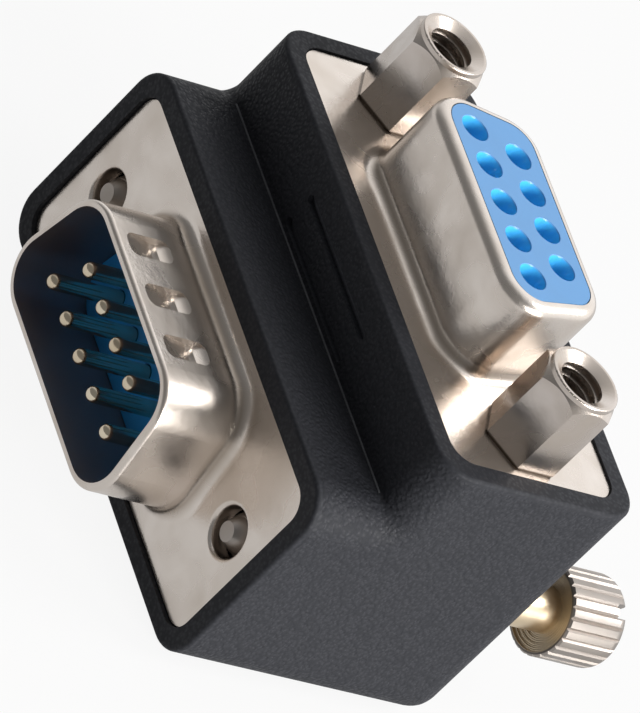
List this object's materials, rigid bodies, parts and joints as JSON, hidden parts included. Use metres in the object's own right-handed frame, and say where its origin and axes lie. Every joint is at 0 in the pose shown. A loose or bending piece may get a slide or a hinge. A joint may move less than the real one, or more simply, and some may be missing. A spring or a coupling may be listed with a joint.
{
  "type": "right-angle d-sub adapter",
  "caption": "Right-angle adapter: a moulded L-shaped housing joins a pin connector on one face to a socket connector on the other, with captive thumbscrews and hexagonal standoffs.",
  "frame": {"origin": "on the underside, straight below the middle of the socket connector", "axes": "+Z is the way the socket connector faces, -Y the way the pin connector faces, +X along the long side of both connectors"},
  "size_m": [0.0336, 0.035, 0.026],
  "materials": {
    "housing": "fine leather grain, smooth rims",
    "shell": "nickel plated, satin",
    "insulator": "moulded, slightly glossy",
    "contact": "thin gold over nickel, polished",
    "hardware": "nickel plated, turned"
  },
  "bodies": {
    "adapter": {"housing": "housing", "male_front_shell": "shell", "male_rear_shell": "shell", "female_front_shell": "shell", "female_rear_shell": "shell", "male_front_insulator": "insulator", "male_rear_insulator": "insulator", "female_front_insulator": "insulator", "female_rear_insulator": "insulator", "left_standoff": "hardware", "right_standoff": "hardware", "left_standoff_nut": "hardware", "right_standoff_nut": "hardware", "male_pin_1": "contact", "male_pin_2": "contact", "male_pin_3": "contact", "male_pin_4": "contact", "male_pin_5": "contact", "male_pin_6": "contact", "male_pin_7": "contact", "male_pin_8": "contact", "male_pin_9": "contact", "female_socket_1": "contact", "female_socket_2": "contact", "female_socket_3": "contact", "female_socket_4": "contact", "female_socket_5": "contact", "female_socket_6": "contact", "female_socket_7": "contact", "female_socket_8": "contact", "female_socket_9": "contact"},
    "left_ring": {"left_retaining_ring": "hardware"},
    "left_screw": {"left_thumbscrew": "hardware"},
    "right_ring": {"right_retaining_ring": "hardware"},
    "right_screw": {"right_thumbscrew": "hardware"}
  },
  "joints": [
    {"name": "left_screw_travel", "type": "slide", "parent": "adapter", "child": "left_ring", "axis": [0, -1, 0], "range_m": [0, 0.0046]},
    {"name": "left_screw_turn", "type": "hinge", "parent": "left_ring", "child": "left_screw", "pos_m": [-0.01249, 0, 0.00745], "axis": [0, -1, 0], "continuous": true},
    {"name": "right_screw_travel", "type": "slide", "parent": "adapter", "child": "right_ring", "axis": [0, -1, 0], "range_m": [0, 0.0046]},
    {"name": "right_screw_turn", "type": "hinge", "parent": "right_ring", "child": "right_screw", "pos_m": [0.01249, 0, 0.00745], "axis": [0, -1, 0], "continuous": true}
  ]
}
